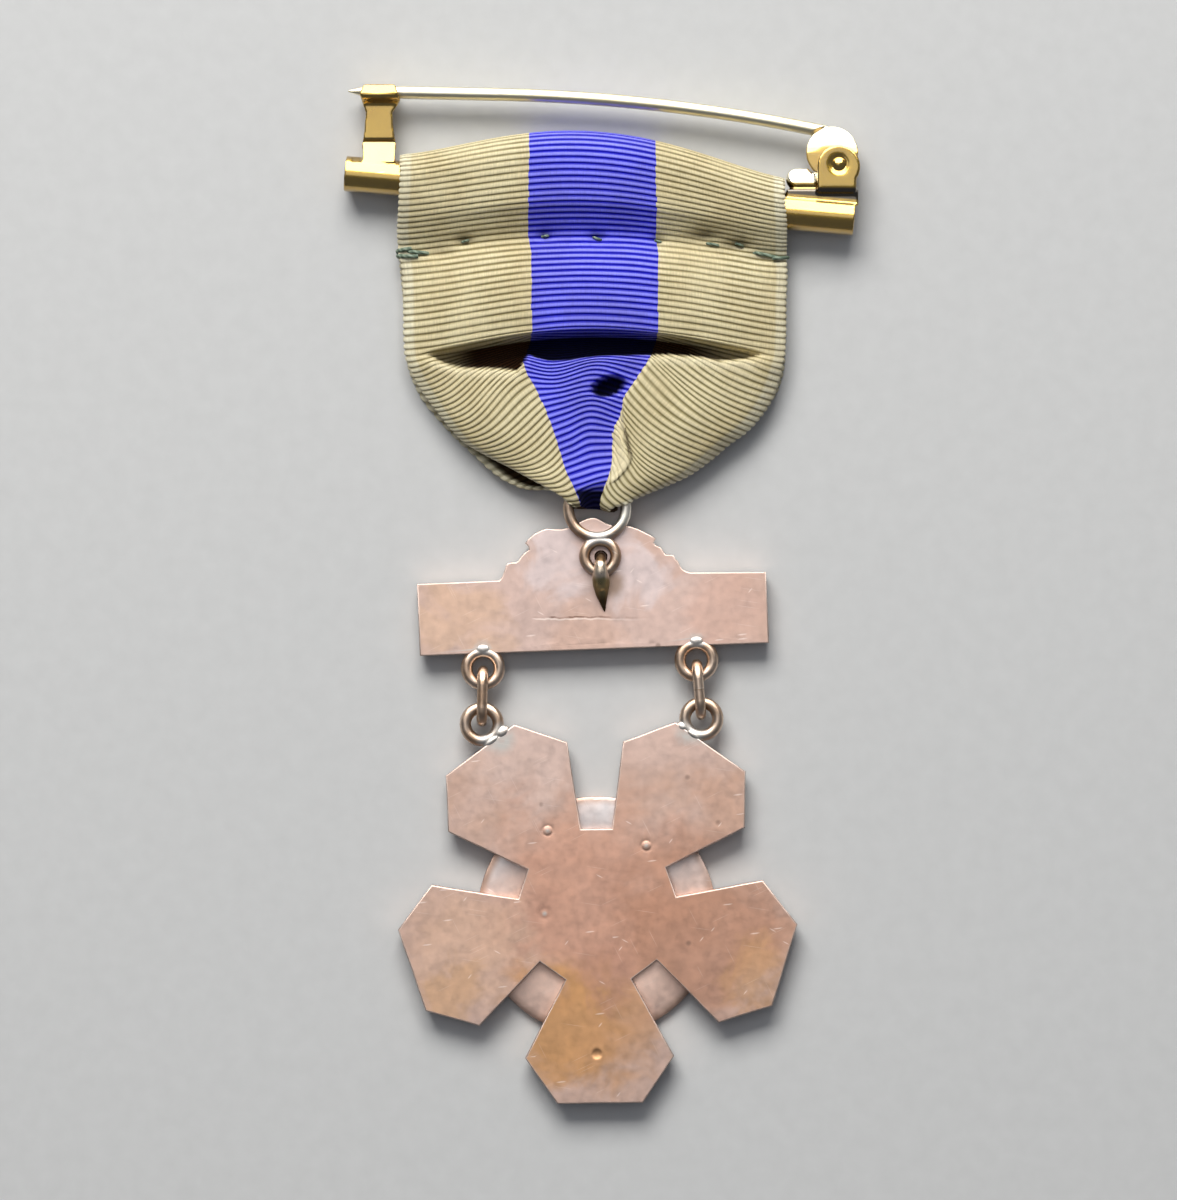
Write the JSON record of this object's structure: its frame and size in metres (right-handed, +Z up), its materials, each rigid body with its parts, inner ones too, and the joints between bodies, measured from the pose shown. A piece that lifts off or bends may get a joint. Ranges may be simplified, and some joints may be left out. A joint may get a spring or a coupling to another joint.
{
  "type": "marksman badge",
  "caption": "Badge lying face down: brooch bar with hinged pin, striped ribbon gathered through a ring, arched bar on two links, and a five-armed cross with a dished disc.",
  "frame": {"origin": "on the surface that the badge lies on, under the middle of its bounding box", "axes": "+Y from the cross to the brooch pin, +X to the right seen from the back, +Z up from the surface, out of the badge's back"},
  "size_m": [0.0464, 0.0917, 0.0047],
  "materials": {
    "brass": "polished yellow brass with dull recesses",
    "pin_wire": "bright drawn wire",
    "ring_wire": "dull brown wire with bright rubbed sides",
    "bronze": "satin toned bronze, lightly scratched",
    "bronze_disc": "brighter satin bronze",
    "ribbon": "olive grosgrain ribbon with a blue middle stripe"
  },
  "bodies": {
    "badge": {"brooch_bar": "brass", "hinge_rivet": "brass", "ribbon": "ribbon", "suspension_ring": "ring_wire", "clasp_bar": "bronze", "link_left": "ring_wire", "link_right": "ring_wire", "cross": "bronze", "wreath_disc": "bronze_disc"},
    "pin": {"pin_stem": "pin_wire"}
  },
  "joints": [
    {"name": "pin_swing", "type": "hinge", "parent": "badge", "child": "pin", "pos_m": [0.02124, 0.0387, 0.0022], "axis": [0, 0, -1], "range_deg": [0, 100]}
  ]
}
